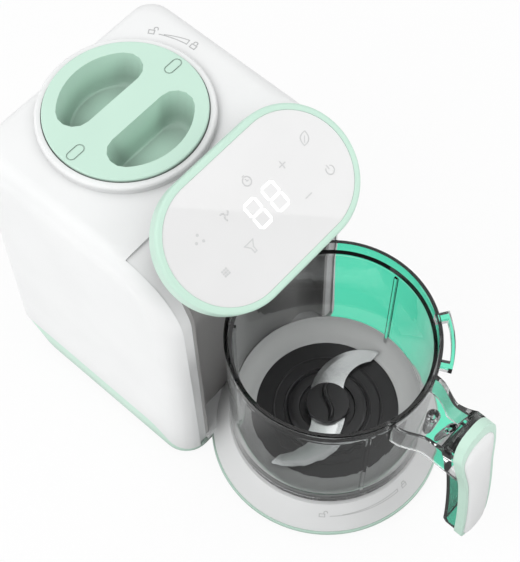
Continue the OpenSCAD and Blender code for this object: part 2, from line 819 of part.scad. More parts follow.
// Depth shares and widths of the well's levels, from its round floor up to its mouth
well_levels = [[1, 0.72], [0.97, 0.8], [0.9, 0.85], [0.75, 0.89], [0, 1]];
module finger_well(grow, depth, above) {
    loft(concat(
        [for (l = well_levels) well_ring(grow, l[1], lid_top_z - depth * l[0])],
        above > 0 ? [well_ring(grow, 1, lid_top_z + above)] : []));
}

mark_inset = 8;
mark_at = lid_r - mark_inset;
mark_r = 3;
mark_line = 0.8;
mark_deep = 0.5;
lid_edge_r = 1;
well_wall = 2;
module lid_cap() color("palegreen") translate([0, lid_y, 0]) difference() {
    union() {
        translate([0, 0, lid_z]) rotate_extrude() {
            square([lid_r - lid_edge_r, lid_t]);
            square([lid_r, lid_t - lid_edge_r]);
            translate([lid_r - lid_edge_r, lid_t - lid_edge_r]) circle(lid_edge_r);
        }
        intersection() {
            for (a = [0, 180]) rotate(a) finger_well(well_wall, grip_well_depth + well_wall, 0);
            cylinder(r = lid_r, h = lid_top_z - 1);
        }
    }
    for (a = [0, 180]) rotate(a) finger_well(0, grip_well_depth, 1);
    for (s = [-1, 1]) translate([s * mark_at, 0, lid_top_z - mark_deep]) linear_extrude(1) difference() {
        stadium(mark_r, mark_r);
        stadium(mark_r, mark_r - mark_line);
    }
}

skirt_gap = 1.9;
skirt_r = mouth_r - skirt_gap;
skirt_t = 1.6;
skirt_h = 14;
lip_h = 2;
lip_w = 1.2;
seal_h = 3;
module lid_skirt() color("white") translate([0, lid_y, lid_z - skirt_h]) difference() {
    union() {
        cylinder(r = skirt_r, h = skirt_h);
        cylinder(r = skirt_r + lip_w, h = lip_h);
    }
    translate([0, 0, -1]) cylinder(r = skirt_r - skirt_t, h = skirt_h + 2);
}

seal_z = lid_z - skirt_h + lip_h + part_gap;
module lid_gasket() color("gainsboro") translate([0, lid_y, seal_z]) difference() {
    cylinder(r = mouth_r - part_gap, h = seal_h);
    translate([0, 0, -1]) cylinder(r = skirt_r + run_gap, h = seal_h + 2);
}

// Jar: clear bowl with collar, mixing ribs, latch bracket, bridge and the grip's spine
jar_wall_r = jar_rim_r - jar_step;
jar_foot_r = well_r - 0.8;
fillet_steps = 6;
function arc(cx, cy, r, a0, a1) = [for (i = [0:fillet_steps])
    let (a = a0 + (a1 - a0) * i / fillet_steps) [cx + r * cos(a), cy + r * sin(a)]];
bowl_fillet = 12;
foot_fillet = 4;
jar_clear_floor = 3;
ledge_w = 1.6;
ledge_h = 4;

module jar_section() {
    inner_r = jar_wall_r - jar_wall;
    floor_top = jar_shelf_z + jar_clear_floor;
    collar_z = rim_z - jar_collar_h;
    polygon(concat(
        [[floor_plate_r, jar_shelf_z], [jar_foot_r + 0.3, jar_shelf_z], [jar_foot_r + 0.3, jar_z]],
        arc(jar_wall_r - foot_fillet, jar_z + foot_fillet, foot_fillet, -90, 0),
        [[jar_wall_r, collar_z - 1], [jar_rim_r, collar_z]],
        arc(jar_rim_r - 1, rim_z - 1, 1, 0, 90),
        [[jar_rim_r - jar_wall, rim_z], [jar_rim_r - jar_wall, collar_z + ledge_h / 2],
            [inner_r - ledge_w, collar_z + ledge_h / 4], [inner_r - ledge_w, collar_z - ledge_h / 4],
            [inner_r, collar_z - ledge_h]],
        arc(inner_r - bowl_fillet, floor_top + bowl_fillet, bowl_fillet, 0, -90),
        [[floor_plate_r, floor_top]]));
}

// The jar's own frame: origin on its axis, Y pointing to the front
module jar_front() {
    translate([0, jar_y, 0]) mirror([0, 1, 0]) children();
}

rib_angles = [0, 120, 240];
rib_w = 2;
rib_deep = 2.5;
latch_from = 34;
latch_to = 65;
latch_reach = 7;
latch_z = rim_z - jar_collar_h;
latch_h = 6;

module wedge(a0, a1, r) {
    polygon([[0, 0], [r * cos(a0), r * sin(a0)], [r * cos((a0 + a1) / 2), r * sin((a0 + a1) / 2)],
             [r * cos(a1), r * sin(a1)]]);
}

module latch_bracket() {
    linear_extrude(latch_h) difference() {
        intersection() {
            circle(jar_rim_r + latch_reach);
            wedge(latch_from, latch_to, 2 * jar_rim_r);
        }
        intersection() {
            circle(jar_rim_r + latch_reach - 2);
            wedge(latch_from + 4, latch_to - 4, 2 * jar_rim_r);
        }
        circle(jar_rim_r - 1);
    }
}

// The grip: its line in side view is a bow, and its outline in front view widens to the top
bridge_top = rim_z - 2;
grip_z0 = rim_z - grip_drop;
grip_z1 = rim_z + grip_rise;
grip_steps = 16;
foot_round = 11;
top_round = 13;
flare_z0 = bridge_top - 1.5 * bridge_h;
flare_z1 = bridge_top;
function bow(z) = tan(grip_lean) * (z - grip_z0) + pow(z - grip_z0, 2) / (2 * grip_bow);
grip_foot = handle_reach - cover_proud - frame_t + bow(grip_z0 + cover_border);
function grip_line(z) = grip_foot - bow(z);
function step_z(z0, z1, i) = z0 + (z1 - z0) * i / grip_steps;
function flare_share(z) = min(1, max(0, (z - flare_z0) / (flare_z1 - flare_z0)));
function grip_half(z) = grip_w / 2 + grip_flare * smooth(flare_share(z));

// Side view: the band between two offsets from the grip's line
module grip_band(from, to, z0, z1) {
    polygon(concat(
        [for (i = [0:grip_steps]) let (z = step_z(z0, z1, i)) [grip_line(z) + from, z]],
        [for (i = [grip_steps:-1:0]) let (z = step_z(z0, z1, i)) [grip_line(z) + to, z]]));
}

// Front view: the grip's outline, set in by some width and cut lower at its top
module grip_outline(inset, cap = 0) {
    r0 = foot_round - inset;
    r1 = top_round - inset;
    z0 = grip_z0 + inset;
    z1 = grip_z1 - inset - cap;
    half = concat(
        arc(grip_w / 2 - inset - r0, z0 + r0, r0, -90, 0),
        [for (i = [1:grip_steps - 1]) let (z = step_z(flare_z0, flare_z1 - top_round / 2, i))
            [grip_half(z) - inset, z]],
        arc(grip_w / 2 + grip_flare - inset - r1, z1 - r1, r1, 0, 90));
    polygon(concat(half, [for (i = [len(half) - 1:-1:0]) [-half[i][0], half[i][1]]]));
}

module grip_slice(from, to, inset, cap = 0) {
    intersection() {
        side_extrude(2 * grip_w) grip_band(from, to, grip_z0 + inset, grip_z1 - inset);
        front_extrude(jar_rim_r, 2 * handle_reach) grip_outline(inset, cap);
    }
}

// The spine in side view: its foot runs out to a point under the frame, and it thins behind the top
spine_inset = 1;
spine_wall = 2;
spine_tip = 13;
spine_top_t = 3;
function spine_depth(z) = spine_t - (spine_t - spine_top_t)
    * smooth(min(1, max(0, (z - bridge_top) / (grip_z1 - bridge_top))));
module spine_side(shrink) {
    z1 = grip_z1 - spine_inset - shrink;
    z0 = grip_z0 + spine_tip + shrink;
    polygon(concat(
        [for (i = [grip_steps:-1:0]) let (z = step_z(z0, z1, i)) [grip_line(z) - spine_depth(z) + shrink, z]],
        [[grip_line(grip_z0) - spine_t / 2 + shrink, grip_z0 + spine_tip / 4 + shrink],
         [grip_line(grip_z0), grip_z0 + spine_inset + shrink]],
        [for (i = [0:grip_steps]) let (z = step_z(z0, z1, i)) [grip_line(z), z]]));
}

bridge_wall = 2.2;
boss_places = [10, 24];
boss_r = 4;
boss_bore = 1.4;

// The bridge widens where it leaves the rim, and a web carries its top up behind the grip
root_flare = 6;
root_run = 18;
web_run = 14;
web_rise = 9;
function root_share(y) = min(1, max(0, (y - jar_wall_r) / root_run));
function bridge_half(y) = bridge_w / 2 + root_flare * (1 - smooth(root_share(y)));
module bridge_box(inset, below) {
    root = [for (i = [0:fillet_steps]) jar_wall_r + root_run * i / fillet_steps];
    sides = concat([0], root, [grip_foot - inset]);
    n = len(sides);
    translate([0, 0, bridge_top - bridge_h - below]) linear_extrude(bridge_h - inset + below) polygon(concat(
        [for (y = sides) [bridge_half(y) - inset, y]],
        [for (i = [n - 1:-1:0]) [inset - bridge_half(sides[i]), sides[i]]]));
}

module bridge_web() {
    foot = grip_line(bridge_top) - spine_t - web_run;
    top_z = bridge_top + web_rise;
    side_extrude(bridge_w) polygon(concat(
        [for (i = [0:fillet_steps]) let (t = i / fillet_steps)
            [foot + (grip_line(top_z) - spine_depth(top_z) - foot) * t, bridge_top + web_rise * t * t]],
        [[grip_line(top_z), top_z], [grip_line(bridge_top - 1), bridge_top - 1], [foot, bridge_top - 1]]));
}

module beyond_spine() {
    side_extrude(2 * bridge_w) grip_band(0, handle_reach, grip_z0, grip_z1);
}

module grip_spine() {
    difference() {
        intersection() {
            side_extrude(2 * grip_w) spine_side(0);
            front_extrude(jar_rim_r, 2 * handle_reach) grip_outline(spine_inset);
        }
        intersection() {
            side_extrude(2 * grip_w) spine_side(spine_wall);
            front_extrude(jar_rim_r, 2 * handle_reach) grip_outline(spine_inset + spine_wall);
            translate([-grip_w, 0, 0]) cube([2 * grip_w, handle_reach, bridge_top - bridge_h]);
        }
    }
}

module mixing_ribs() {
    intersection() {
        for (a = rib_angles) rotate(a)
            translate([jar_wall_r - jar_wall - rib_deep, -rib_w / 2, jar_z + bowl_fillet])
                cube([rib_deep + 1, rib_w, jar_h - jar_collar_h - bowl_fillet - 2]);
        cylinder(r = jar_wall_r - 1, h = rim_z);
    }
}

module jar() color("lightcyan", 0.5) {
    difference() {
        union() {
            translate([0, jar_y, 0]) rotate_extrude() jar_section();
            jar_front() difference() {
                bridge_box(0, 0);
                bridge_box(bridge_wall, 1);
                cylinder(r = jar_wall_r - 1, h = rim_z);
                beyond_spine();
            }
            jar_front() grip_spine();
            jar_front() bridge_web();
            jar_front() for (s = boss_places) translate([0, jar_rim_r + s, bridge_top - bridge_h])
                cylinder(r = boss_r, h = bridge_h - 1);
            jar_front() translate([0, 0, latch_z]) latch_bracket();
            translate([0, jar_y, 0]) mixing_ribs();
        }
        jar_front() for (s = boss_places) translate([0, jar_rim_r + s, bridge_top - bridge_h - 1])
            cylinder(r = boss_bore, h = bridge_h - boss_r);
    }
}

// Jar base: dark floor plate with raised rings, and the foot that stands in the well
foot_wall = 2.5;
jar_foot_z = coupling_z + 1.2;
jar_bush_r = shaft_r + 4;
plate_rings = [20, 27, 34];
floor_plate_t = 3;
plate_ring_r = 0.8;
jar_boss_r = jar_bush_r + 4;
module jar_base() color("dimgray") translate([0, jar_y, 0]) difference() {
    union() {
        difference() {
            union() {
                translate([0, 0, jar_shelf_z - foot_wall])
                    cylinder(r = floor_plate_r, h = jar_floor_z - jar_shelf_z + foot_wall);
                translate([0, 0, jar_foot_z]) cylinder(r = jar_foot_r, h = jar_shelf_z - jar_foot_z);
            }
            translate([0, 0, jar_foot_z - 1])
                cylinder(r = jar_foot_r - foot_wall, h = jar_shelf_z - foot_wall - jar_foot_z + 1);
            translate([0, 0, jar_foot_z])
                cylinder(r = floor_plate_r - foot_wall, h = jar_floor_z - floor_plate_t - jar_foot_z);
        }
        translate([0, 0, driven_top_z + 2 * part_gap])
            cylinder(r = jar_boss_r, h = jar_floor_z - driven_top_z - 1);
        for (r = plate_rings) translate([0, 0, jar_floor_z]) rotate_extrude()
            translate([r, 0]) circle(plate_ring_r);
    }
    translate([0, 0, jar_foot_z]) cylinder(r = jar_bush_r + run_gap, h = jar_h);
}

module jar_bush() color("darkgoldenrod") translate([0, jar_y, driven_top_z + part_gap]) difference() {
    cylinder(r = jar_bush_r, h = jar_floor_z + bush_rise - driven_top_z - part_gap);
    translate([0, 0, -1]) cylinder(r = shaft_r + run_gap, h = jar_h);
}

module jar_seal() color("black") translate([0, jar_y, jar_floor_z + bush_rise]) difference() {
    cylinder(r = jar_bush_r - 0.5, h = seal_t);
    translate([0, 0, -1]) cylinder(r = shaft_r + run_gap, h = seal_t + 2);
}

module handle_frame() color("palegreen") jar_front() difference() {
    grip_slice(0, frame_t, 0);
    grip_slice(frame_t / 2, 2 * frame_t, cover_border, cover_cap);
}

module handle_cover() color("white") jar_front()
    grip_slice(frame_t / 2, frame_t + cover_proud, cover_border, cover_cap);

module handle_screws() color("silver") jar_front() for (s = boss_places)
    translate([0, jar_rim_r + s, bridge_top - bridge_h - screw_head_h]) {
        cylinder(r = 2 * boss_bore, h = screw_head_h);
        cylinder(r = boss_bore, h = bridge_h / 2);
    }

// Blade set: S-shaped blade with bevelled edges on a hub, driven from below
arm_outer_r = 0.7 * blade_r;
arm_outer_at = [0.37 * blade_r, -0.31 * blade_r];
arm_inner_r = 0.41 * blade_r;
arm_inner_at = [0.545 * blade_r, -0.34 * blade_r];
arm_end = -0.03 * blade_r;
bevel_w = 4;
bevel_left = 0.4;
blade_lift = 1.2;

module arm_plan() {
    intersection() {
        difference() {
            translate(arm_outer_at) circle(arm_outer_r);
            translate(arm_inner_at) circle(arm_inner_r);
        }
        translate([0, arm_end]) square(2 * blade_r);
        circle(blade_r);
    }
}

module blade() color("silver") translate([0, jar_y, hub_z + blade_lift]) difference() {
    for (a = [0, 180]) rotate(a) difference() {
        linear_extrude(blade_t) arm_plan();
        translate([arm_outer_at[0], arm_outer_at[1], 0]) rotate_extrude() polygon([
            [arm_outer_r - bevel_w, blade_t + eps], [arm_outer_r + 1, blade_t + eps],
            [arm_outer_r + 1, bevel_left], [arm_outer_r, bevel_left]]);
    }
    translate([0, 0, -1]) cylinder(r = hub_r, h = blade_t + 2);
}

ridge_w = 3.4;
ridge_h = 5;
ridge_turn = 41;
ridge_sway = 1.6;
ridge_steps = 12;
module hub_ridge() {
    line = [for (i = [-ridge_steps:ridge_steps]) let (s = i / ridge_steps)
        [hub_r * s, ridge_sway * sin(180 * s)]];
    rotate(ridge_turn) intersection() {
        polygon(concat(
            [for (p = line) [p[0], p[1] - ridge_w / 2]],
            [for (i = [2 * ridge_steps:-1:0]) [line[i][0], line[i][1] + ridge_w / 2]]));
        circle(hub_r - 0.5);
    }
}

module blade_hub() color("dimgray") translate([0, jar_y, hub_z]) difference() {
    union() {
        rotate_extrude() polygon(concat([[0, 0], [hub_r, 0]],
            arc(hub_r - 1.5, hub_h - 1.5, 1.5, 0, 90), [[0, hub_h]]));
        translate([0, 0, hub_h]) linear_extrude(ridge_h) hub_ridge();
    }
    translate([0, 0, -1]) cylinder(r = shaft_r, h = hub_h - 1);
}

module blade_spindle() color("silver") translate([0, jar_y, driven_z + driven_cup_h])
    cylinder(r = shaft_r, h = hub_z + hub_h - 2 - driven_z - driven_cup_h);

module driven_coupling() color("dimgray") translate([0, jar_y, driven_z]) difference() {
    cylinder(r = dog_r + 4, h = driven_cup_h + driven_top_t);
    translate([0, 0, -1]) cylinder(r = dog_r + dog_gap, h = driven_cup_h + 1, $fn = dog_sides);
    cylinder(r = shaft_r, h = driven_cup_h + driven_top_t + 1);
}

main_housing();
front_fascia();
bottom_tray();
jar_deck();
head_tray();
panel_bezel();
touch_glass();
display_board();
display_module();
power_board();
boiler();
boiler_gasket();
heater_plate();
thermostat();
steam_tube();
steam_nozzle();
motor();
motor_bracket();
drive_belt();
shaft_bush();
cord_inlet();
feet();
board_screws();
motor_screws();
boiler_screws();
drive_pulley();
drive_shaft();
drive_coupling();
motor_shaft();
motor_pulley();
lid_gasket();
lid_cap();
lid_skirt();
jar_bush();
jar_seal();
jar();
jar_base();
handle_frame();
handle_cover();
handle_screws();
blade_hub();
blade();
blade_spindle();
driven_coupling();
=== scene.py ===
import json
import math

import bpy
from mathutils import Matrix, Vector
from mathutils.bvhtree import BVHTree


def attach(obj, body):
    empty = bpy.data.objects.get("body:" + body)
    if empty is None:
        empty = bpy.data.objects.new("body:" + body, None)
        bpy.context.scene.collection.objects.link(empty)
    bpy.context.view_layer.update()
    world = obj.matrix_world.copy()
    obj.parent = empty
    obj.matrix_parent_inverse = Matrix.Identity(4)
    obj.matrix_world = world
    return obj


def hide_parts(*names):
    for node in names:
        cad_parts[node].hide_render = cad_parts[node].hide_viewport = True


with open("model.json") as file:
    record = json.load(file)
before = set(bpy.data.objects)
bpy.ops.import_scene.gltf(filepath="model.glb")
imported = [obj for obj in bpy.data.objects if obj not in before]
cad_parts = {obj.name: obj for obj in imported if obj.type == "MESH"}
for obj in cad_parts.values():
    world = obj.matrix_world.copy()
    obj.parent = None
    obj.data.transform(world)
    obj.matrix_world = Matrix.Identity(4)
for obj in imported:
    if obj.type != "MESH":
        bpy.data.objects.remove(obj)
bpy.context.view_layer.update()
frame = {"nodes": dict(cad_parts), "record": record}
nodes = frame["nodes"]
MM = 0.001


# Materials
def srgb(r, g, b):
    def lin(c):
        c = c / 255
        return c / 12.92 if c <= 0.04045 else ((c + 0.055) / 1.055) ** 2.4
    return (lin(r), lin(g), lin(b), 1)


def shade(colour, share):
    return tuple(c * share for c in colour[:3]) + (1,)


NOISE_LOW, NOISE_HIGH = 0.3, 0.7
# Ambient occlusion values over which the painted recess shade fades from full to none.
SHUT_AO, OPEN_AO = 0.2, 0.9


class Graph:
    """Nodes of one material and the links between them."""

    def __init__(self, name):
        self.material = bpy.data.materials.new(name)
        self.material.use_nodes = True
        self.tree = self.material.node_tree
        self.shader = self.tree.nodes["Principled BSDF"]

    def add(self, kind, **settings):
        made = self.tree.nodes.new(kind)
        for key, value in settings.items():
            setattr(made, key, value)
        return made

    def link(self, a, b):
        self.tree.links.new(a, b)

    def noise(self, scale, detail=2.0, stretch=None):
        where = self.add("ShaderNodeTexCoord").outputs["Object"]
        if stretch:
            place = self.add("ShaderNodeMapping")
            place.inputs["Scale"].default_value = stretch
            self.link(where, place.inputs["Vector"])
            where = place.outputs["Vector"]
        made = self.add("ShaderNodeTexNoise")
        made.inputs["Scale"].default_value = scale
        made.inputs["Detail"].default_value = detail
        self.link(where, made.inputs["Vector"])
        return made.outputs["Fac"]

    def span(self, value, low, high, start=NOISE_LOW, end=NOISE_HIGH):
        """Carries the range from start to end over to the one from low to high."""
        made = self.add("ShaderNodeMapRange")
        limits = {"From Min": start, "From Max": end, "To Min": low, "To Max": high}
        for key, limit in limits.items():
            made.inputs[key].default_value = limit
        self.link(value, made.inputs["Value"])
        return made.outputs["Result"]

    def tint(self, value, low, high):
        ramp = self.add("ShaderNodeValToRGB")
        stops = ramp.color_ramp.elements
        stops[0].position, stops[1].position = NOISE_LOW, NOISE_HIGH
        stops[0].color, stops[1].color = low, high
        self.link(value, ramp.inputs["Fac"])
        return ramp.outputs["Color"]

    def bump(self, value, height, strength=1.0):
        made = self.add("ShaderNodeBump")
        made.inputs["Distance"].default_value = height
        made.inputs["Strength"].default_value = strength
        self.link(value, made.inputs["Height"])
        self.link(made.outputs["Normal"], self.shader.inputs["Normal"])

    def paint_recess_shade(self, tone, reach, shade_tone):
        """Paints shade into recesses: takes a colour over to a darker one where ambient occlusion
        finds the surface shut in.
        """
        shut = self.add("ShaderNodeAmbientOcclusion")
        shut.inputs["Distance"].default_value = reach
        opened = self.span(shut.outputs["AO"], 0, 1, SHUT_AO, OPEN_AO)
        shaded = self.add("ShaderNodeMix", data_type="RGBA")
        self.link(opened, shaded.inputs[0])
        shaded.inputs[6].default_value = shade_tone
        self.link(tone, shaded.inputs[7])
        return shaded.outputs[2]

    def set(self, **values):
        for key, value in values.items():
            self.shader.inputs[key.replace("_", " ")].default_value = value


DRIFT_SCALE = 24
HAZE_SCALE, RIPPLE_SCALE, RIPPLE_HEIGHT = 300, 55, 0.00001
MARK_SCALE, TARNISH_SCALE = 20, 40


def moulded(name, colour, rough=(0.3, 0.4), grain=900, height=0.00002, drift=0.97, painted_recess_shade=None,
            **values):
    """Moulded plastic: fine grain in the surface, with gloss and colour that drift slightly, and
    painted shade in recesses where one is given.
    """
    g = Graph(name)
    fine = g.noise(grain, 3.0)
    broad = g.noise(DRIFT_SCALE)
    tone = g.tint(broad, shade(colour, drift), colour)
    # Painted shade: the colour darkens in recesses found by ambient occlusion.
    if painted_recess_shade:
        tone = g.paint_recess_shade(tone, *painted_recess_shade)
    g.link(tone, g.shader.inputs["Base Color"])
    g.link(g.span(fine, *rough), g.shader.inputs["Roughness"])
    g.bump(fine, height)
    g.set(**values)
    return g.material


def clear(name, colour, rough=(0.01, 0.03), ior=1.49):
    """Clear plastic with a faint flow ripple from moulding."""
    g = Graph(name)
    g.link(g.span(g.noise(HAZE_SCALE), *rough), g.shader.inputs["Roughness"])
    g.bump(g.noise(RIPPLE_SCALE), RIPPLE_HEIGHT, 0.5)
    g.set(Base_Color=colour, Transmission_Weight=1.0, IOR=ior)
    return g.material


def metal(name, colour, rough=(0.18, 0.3), stretch=(60, 60, 60), height=0.000004, drift=0.94):
    """Metal with fine brushed or turned marks."""
    g = Graph(name)
    marks = g.noise(MARK_SCALE, 3.0, stretch)
    tone = g.tint(g.noise(TARNISH_SCALE), shade(colour, drift), colour)
    g.link(tone, g.shader.inputs["Base Color"])
    g.link(g.span(marks, *rough), g.shader.inputs["Roughness"])
    g.bump(marks, height)
    g.set(Metallic=1.0)
    return g.material


look = {
    # White and mint carry painted shade: their colour darkens in recesses towards the darker
    # colour given with each.
    "white_plastic": moulded("white_plastic", srgb(243, 244, 244),
                             painted_recess_shade=(0.05, srgb(202, 203, 203))),
    "mint_plastic": moulded("mint_plastic", srgb(203, 234, 218),
                            painted_recess_shade=(0.02, srgb(122, 130, 125))),
    "grey_plastic": moulded("grey_plastic", srgb(166, 165, 164), rough=(0.4, 0.5)),
    "dark_plastic": moulded("dark_plastic", srgb(44, 44, 45), rough=(0.3, 0.45)),
    "clear_plastic": clear("clear_plastic", (0.82, 0.83, 0.83, 1)),
    "screen_glass": moulded("screen_glass", srgb(236, 236, 236), rough=(0.005, 0.015),
                            height=0.0000003, IOR=1.55),
    "blade_steel": metal("blade_steel", srgb(218, 221, 221), rough=(0.22, 0.27),
                         stretch=(12, 12, 60), height=0.0000005, drift=0.985),
    "steel": metal("steel", srgb(190, 192, 195)),
    "aluminium": metal("aluminium", srgb(200, 202, 205), rough=(0.3, 0.45)),
    "bronze": metal("bronze", srgb(176, 130, 74)),
    "rubber": moulded("rubber", srgb(40, 40, 42), rough=(0.6, 0.75)),
    "silicone": moulded("silicone", srgb(226, 228, 226), rough=(0.45, 0.6)),
    "board": moulded("board", srgb(46, 110, 70), rough=(0.35, 0.5)),
}
panel_ink = moulded("panel_ink", srgb(212, 213, 213), rough=(0.3, 0.4))
shell_ink = moulded("shell_ink", srgb(190, 191, 191), rough=(0.4, 0.5))
milky = moulded("milky_plastic", srgb(218, 220, 219), rough=(0.35, 0.5))
satin = moulded("satin_deck", srgb(222, 223, 223), rough=(0.4, 0.5))
lit = moulded("lit_digit", srgb(250, 251, 251), rough=(0.1, 0.2),
              Emission_Color=(1, 1, 1, 1), Emission_Strength=0.35)


# Finish of the CAD nodes
slot_of = {row["node"]: row["material_slot"] for row in frame["record"]["subparts"]}
NODE_EASE, SAME_POINT, SHARP = 0.0004, 0.00002, 35


def dress(obj, material, ease_width=0):
    """Finish of a node or piece, with its edges eased where a width is given."""
    obj.data.materials.clear()
    obj.data.materials.append(material)
    for p in obj.data.polygons:
        p.use_smooth = True
    weld = obj.modifiers.new("weld", "WELD")
    weld.merge_threshold = SAME_POINT
    if ease_width:
        ease = obj.modifiers.new("ease", "BEVEL")
        ease.width = ease_width
        ease.segments = 2
        ease.limit_method = "ANGLE"
        ease.angle_limit = math.radians(SHARP)
        ease.harden_normals = True
    even = obj.modifiers.new("even", "WEIGHTED_NORMAL")
    even.keep_sharp = True


for name, obj in nodes.items():
    dress(obj, satin if name == "jar_deck" else look[slot_of[name]], NODE_EASE)


# Pieces of the scene
def piece(name, points, faces, material, slot, body):
    """New piece of the object, from points in millimetres."""
    mesh = bpy.data.meshes.new(name)
    mesh.from_pydata([Vector(p) * MM for p in points], [], faces)
    mesh.update()
    obj = bpy.data.objects.new(name, mesh)
    bpy.context.scene.collection.objects.link(obj)
    dress(obj, material)
    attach(obj, body)
    return obj


def strips(rows, n, start=0, ring=False, loop=True, flip=False):
    """Faces between rows of n points; ring joins the last row to the first, loop a row's ends."""
    faces = []
    for k in range(rows if ring else rows - 1):
        a, b = start + k * n, start + (k + 1) % rows * n
        for i in range(n if loop else n - 1):
            j = (i + 1) % n
            faces.append([a + i, a + j, b + j, b + i] if flip else [a + i, b + i, b + j, a + j])
    return faces


def turn(cx, cy, r, a0=0, a1=360, n=24):
    """Points of an arc, or of a whole circle without its last point."""
    count = n if a1 - a0 == 360 else n + 1
    angles = [math.radians(a0 + (a1 - a0) * i / n) for i in range(count)]
    return [(cx + r * math.cos(a), cy + r * math.sin(a)) for a in angles]


def moved(points, du, dv):
    return [(a + du, b + dv) for a, b in points]


# Printed marks
INK_TOP, INK_FOOT = 0.12, -0.15


class Print:
    """Thin closed plates that lie on a surface, drawn in two directions of that surface."""

    def __init__(self, place):
        self.place = place
        self.points = []
        self.faces = []

    def plate(self, outline):
        n, k = len(outline), len(self.points)
        for lift in (INK_FOOT, INK_TOP):
            self.points += [self.place(a, b, lift) for a, b in outline]
        self.faces.append(list(range(k + n - 1, k - 1, -1)))
        self.faces.append(list(range(k + n, k + 2 * n)))
        self.faces += strips(2, n, k, flip=True)

    def line(self, path, width, closed=False):
        n, k = len(path), len(self.points)
        for i, p in enumerate(path):
            before = path[i - 1] if closed or i else None
            after = path[(i + 1) % n] if closed or i < n - 1 else None
            turns = [Vector((q[0] - o[0], q[1] - o[1])).normalized()
                     for o, q in ((before, p), (p, after)) if o and q]
            sides = [Vector((-t.y, t.x)) for t in turns]
            side = sides[0]
            if len(sides) == 2:
                side = (sides[0] + sides[1]) / (1 + sides[0].dot(sides[1]))
            side = side * width / 2
            left, right = (p[0] + side.x, p[1] + side.y), (p[0] - side.x, p[1] - side.y)
            corners = (right, INK_FOOT), (left, INK_FOOT), (left, INK_TOP), (right, INK_TOP)
            self.points += [self.place(a, b, lift) for (a, b), lift in corners]
        self.faces += strips(n, 4, k, ring=closed)
        if not closed:
            last = k + 4 * (n - 1)
            self.faces.append([k, k + 1, k + 2, k + 3])
            self.faces.append([last + 3, last + 2, last + 1, last])

    def made(self, name, material, slot, body):
        return piece(name, self.points, self.faces, material, slot, body)


# Panel: the display's two digits
TILT = math.radians(30)
PANEL = Vector((0, 8, 219))
PANEL_UP = Vector((0, math.cos(TILT), math.sin(TILT)))
PANEL_OUT = Vector((0, -math.sin(TILT), math.cos(TILT)))
DIGIT_STARTS, DIGIT_FOOT = (-8.7, 5.0), -9.4
DIGIT_W, DIGIT_H, DIGIT_BAR, DIGIT_GAP = 9.8, 16.8, 1.6, 0.25


def on_panel(u, v, lift):
    return PANEL + Vector((u, 0, 0)) + PANEL_UP * v + PANEL_OUT * lift


def digit(ink, u0, v0, w, h, t, gap):
    """Seven bars of one digit, each with pointed ends."""
    half = t / 2
    for v in (v0, v0 + (h - t) / 2, v0 + h - t):
        a, b, m = u0 + half + gap, u0 + w - half - gap, v + half
        ink.plate([(a, m), (a + half, v), (b - half, v),
                   (b, m), (b - half, v + t), (a + half, v + t)])
    for u in (u0, u0 + w - t):
        for v in (v0, v0 + (h - t) / 2):
            a, b, m = v + half + gap, v + (h - t) / 2 + half - gap, u + half
            ink.plate([(m, a), (u + t, a + half), (u + t, b - half),
                       (m, b), (u, b - half), (u, a + half)])


digits = Print(on_panel)
for u0 in DIGIT_STARTS:
    digit(digits, u0, DIGIT_FOOT, DIGIT_W, DIGIT_H, DIGIT_BAR, DIGIT_GAP)
digits.made("display_digits", lit, "white_plastic", "housing")


# Panel: the touch keys' marks, each drawn about its own place
STROKE, FINE, BOLD = 0.6, 0.45, 0.9
PLUS, MINUS, SIGN_HALF = (24.6, 8.4), (24.6, -13.1), 2.4
POWER, POWER_R = (43.9, -11.2), 2.5
CLOCK, CLOCK_R = (3.3, 14.9), 2.5
LEAF, LEAF_HALF, LEAF_BULGE, LEAF_STEPS = (44.4, 10.4), 2.8, 1.7, 6
FAN, FAN_ARMS, FAN_HUB = (-18.4, 9.9), 3, 0.6
FAN_POINTS, FAN_IN, FAN_STEP, FAN_CURL = 5, 0.9, 0.5, 12
DOTS, DOT_R = ((-36.9, 12.4), (-40.2, 9.6), (-36.3, 8.1)), 0.85
FUNNEL = (-18.6, -11.4)
GRID, GRID_CELLS, GRID_PITCH, GRID_CELL = (-40.6, -13.4), 3, 1.4, 1.1

keys = Print(on_panel)
for sign in (PLUS, MINUS):
    keys.line(moved([(-SIGN_HALF, 0), (SIGN_HALF, 0)], *sign), STROKE)
    if sign == PLUS:
        for way in (1, -1):
            keys.line(moved([(0, way * STROKE / 2), (0, way * SIGN_HALF)], *sign), STROKE)

keys.line(turn(*POWER, POWER_R, 125, 415), STROKE)
keys.line(moved([(0, 0.6), (0, 3.4)], *POWER), STROKE)

keys.line(turn(*CLOCK, CLOCK_R), STROKE, True)
keys.line(moved([(0, 1.5), (0, 0), (1.1, 0)], *CLOCK), FINE)
keys.line(moved([(-0.8, 3.3), (0.8, 3.3)], *CLOCK), STROKE)

leaf = []
for i in range(-LEAF_STEPS, LEAF_STEPS):
    along = LEAF_HALF * i / LEAF_STEPS
    aside = LEAF_BULGE * (1 - (i / LEAF_STEPS) ** 2)
    leaf.append((along - aside, along + aside))
leaf += [(-a, -b) for a, b in leaf]
keys.line(moved(leaf, *LEAF), STROKE, True)
keys.line(moved([(-1.7, -1.7), (1.0, 1.0)], *LEAF), FINE)

for k in range(FAN_ARMS):
    arm = []
    for i in range(FAN_POINTS):
        r, a = FAN_IN + FAN_STEP * i, math.radians(90 + 360 / FAN_ARMS * k + FAN_CURL * i)
        arm.append((r * math.cos(a), r * math.sin(a)))
    keys.line(moved(arm, *FAN), BOLD)
keys.plate(turn(*FAN, FAN_HUB, n=12))

for dot in DOTS:
    keys.plate(turn(*dot, DOT_R, n=16))

funnel = [(-3.2, 2.6), (-0.8, -0.4), (-0.8, -3.2), (0.8, -3.2), (0.8, -0.4), (3.2, 2.6)]
keys.line(moved(funnel, *FUNNEL), STROKE, True)

